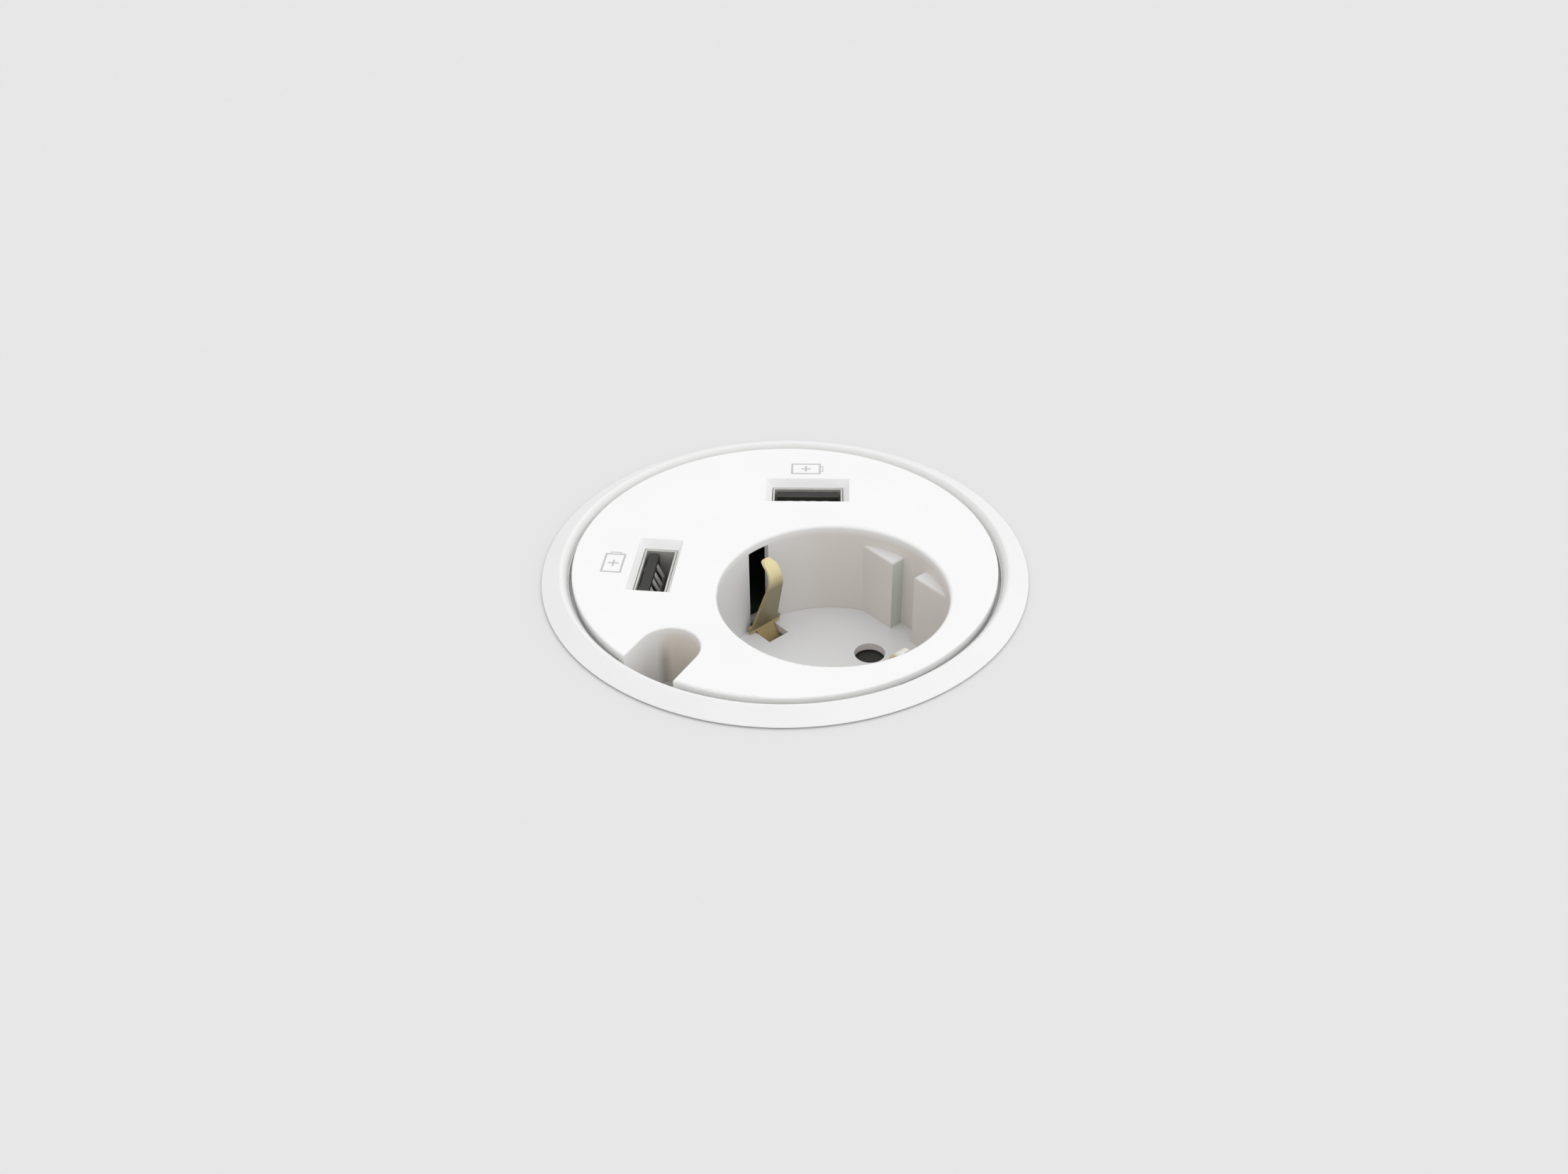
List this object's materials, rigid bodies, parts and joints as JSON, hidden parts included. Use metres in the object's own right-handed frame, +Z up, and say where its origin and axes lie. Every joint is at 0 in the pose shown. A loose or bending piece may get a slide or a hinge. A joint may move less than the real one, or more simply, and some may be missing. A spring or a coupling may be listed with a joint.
{
  "type": "round desk socket",
  "caption": "Round desk-top power outlet with an earthed round mains recess, angled USB ports, a cable notch and a screw-on collar that clamps in a desk hole.",
  "frame": {"origin": "centre of the desk hole, on the desk's top surface", "axes": "+Z up out of the desk, +X through both pin holes, +Y from the mains recess towards the USB ports"},
  "size_m": [0.0918, 0.0918, 0.0562],
  "materials": {
    "collar_plastic": "satin white",
    "plate_plastic": "satin white",
    "floor_plastic": "matt white",
    "housing_plastic": "matt white",
    "gasket_rubber": "matt",
    "nut_plastic": "matt white",
    "dark_plastic": "matt",
    "clip_brass": "bright",
    "contact_brass": "satin",
    "screw_steel": "zinc plated",
    "spring_steel": "bright",
    "shell_steel": "satin",
    "board_laminate": "satin",
    "ferrite": "matt",
    "winding_tape": "satin",
    "can_aluminium": "satin sleeve",
    "choke_black": "matt",
    "fuse_glass": "gloss",
    "chip_black": "matt",
    "live_brown": "satin",
    "neutral_blue": "satin",
    "earth_green_yellow": "satin"
  },
  "bodies": {
    "insert": {"mounting_collar": "collar_plastic", "flange_gasket": "gasket_rubber", "face_plate": "plate_plastic", "socket_floor": "floor_plastic", "rear_housing": "housing_plastic", "housing_screws": "screw_steel", "shutter_spring": "spring_steel", "contact_carrier": "dark_plastic", "carrier_screws": "screw_steel", "live_contact": "contact_brass", "neutral_contact": "contact_brass", "earth_strap": "contact_brass", "live_terminal": "contact_brass", "earth_terminal": "contact_brass", "neutral_terminal": "contact_brass", "terminal_screws": "screw_steel", "live_wire": "live_brown", "earth_wire": "earth_green_yellow", "neutral_wire": "neutral_blue", "board_wires": "choke_black", "charger_board": "board_laminate", "board_screws": "screw_steel", "transformer_core": "ferrite", "transformer_winding": "winding_tape", "board_capacitors": "can_aluminium", "board_inductors": "choke_black", "board_fuse": "fuse_glass", "charger_chips": "chip_black", "inlet_shroud": "dark_plastic", "inlet_pins": "contact_brass", "usb_shell_left": "shell_steel", "usb_shell_right": "shell_steel", "usb_tongue_left": "dark_plastic", "usb_tongue_right": "dark_plastic", "usb_contacts_left": "contact_brass", "usb_contacts_right": "contact_brass"},
    "clamp": {"clamp_washer": "nut_plastic"},
    "nut": {"lock_nut": "nut_plastic"},
    "shutter": {"shutter_rotor": "dark_plastic"},
    "rear_clip": {"earth_clip_rear": "clip_brass"},
    "front_clip": {"earth_clip_front": "clip_brass"}
  },
  "joints": [
    {"name": "clamp_slide", "type": "slide", "parent": "insert", "child": "clamp", "axis": [0, 0, 1], "range_m": [-0.0041, 0.0131]},
    {"name": "nut_turn", "type": "hinge", "parent": "clamp", "child": "nut", "pos_m": [0, 0, -0.0312], "axis": [0, 0, 1], "range_deg": [-360, 1170]},
    {"name": "shutter_turn", "type": "hinge", "parent": "insert", "child": "shutter", "pos_m": [0, -0.013, -0.0197], "axis": [0, 0, 1], "range_deg": [0, 42], "stiffness_Nm_per_rad": 0.002, "springref_deg": -11.46, "deforming": ["shutter_spring"]},
    {"name": "earth_clip_rear_flex", "type": "hinge", "parent": "insert", "child": "rear_clip", "pos_m": [0, 0.0044, -0.0216], "axis": [-1, 0, 0], "range_deg": [0, 3.2], "stiffness_Nm_per_rad": 0.8},
    {"name": "earth_clip_front_flex", "type": "hinge", "parent": "insert", "child": "front_clip", "pos_m": [0, -0.0304, -0.0216], "axis": [1, 0, 0], "range_deg": [0, 3.2], "stiffness_Nm_per_rad": 0.8}
  ],
  "couplings": [
    {"joint": "clamp_slide", "follows": "nut_turn", "m_per_rad": 0.00063662}
  ]
}
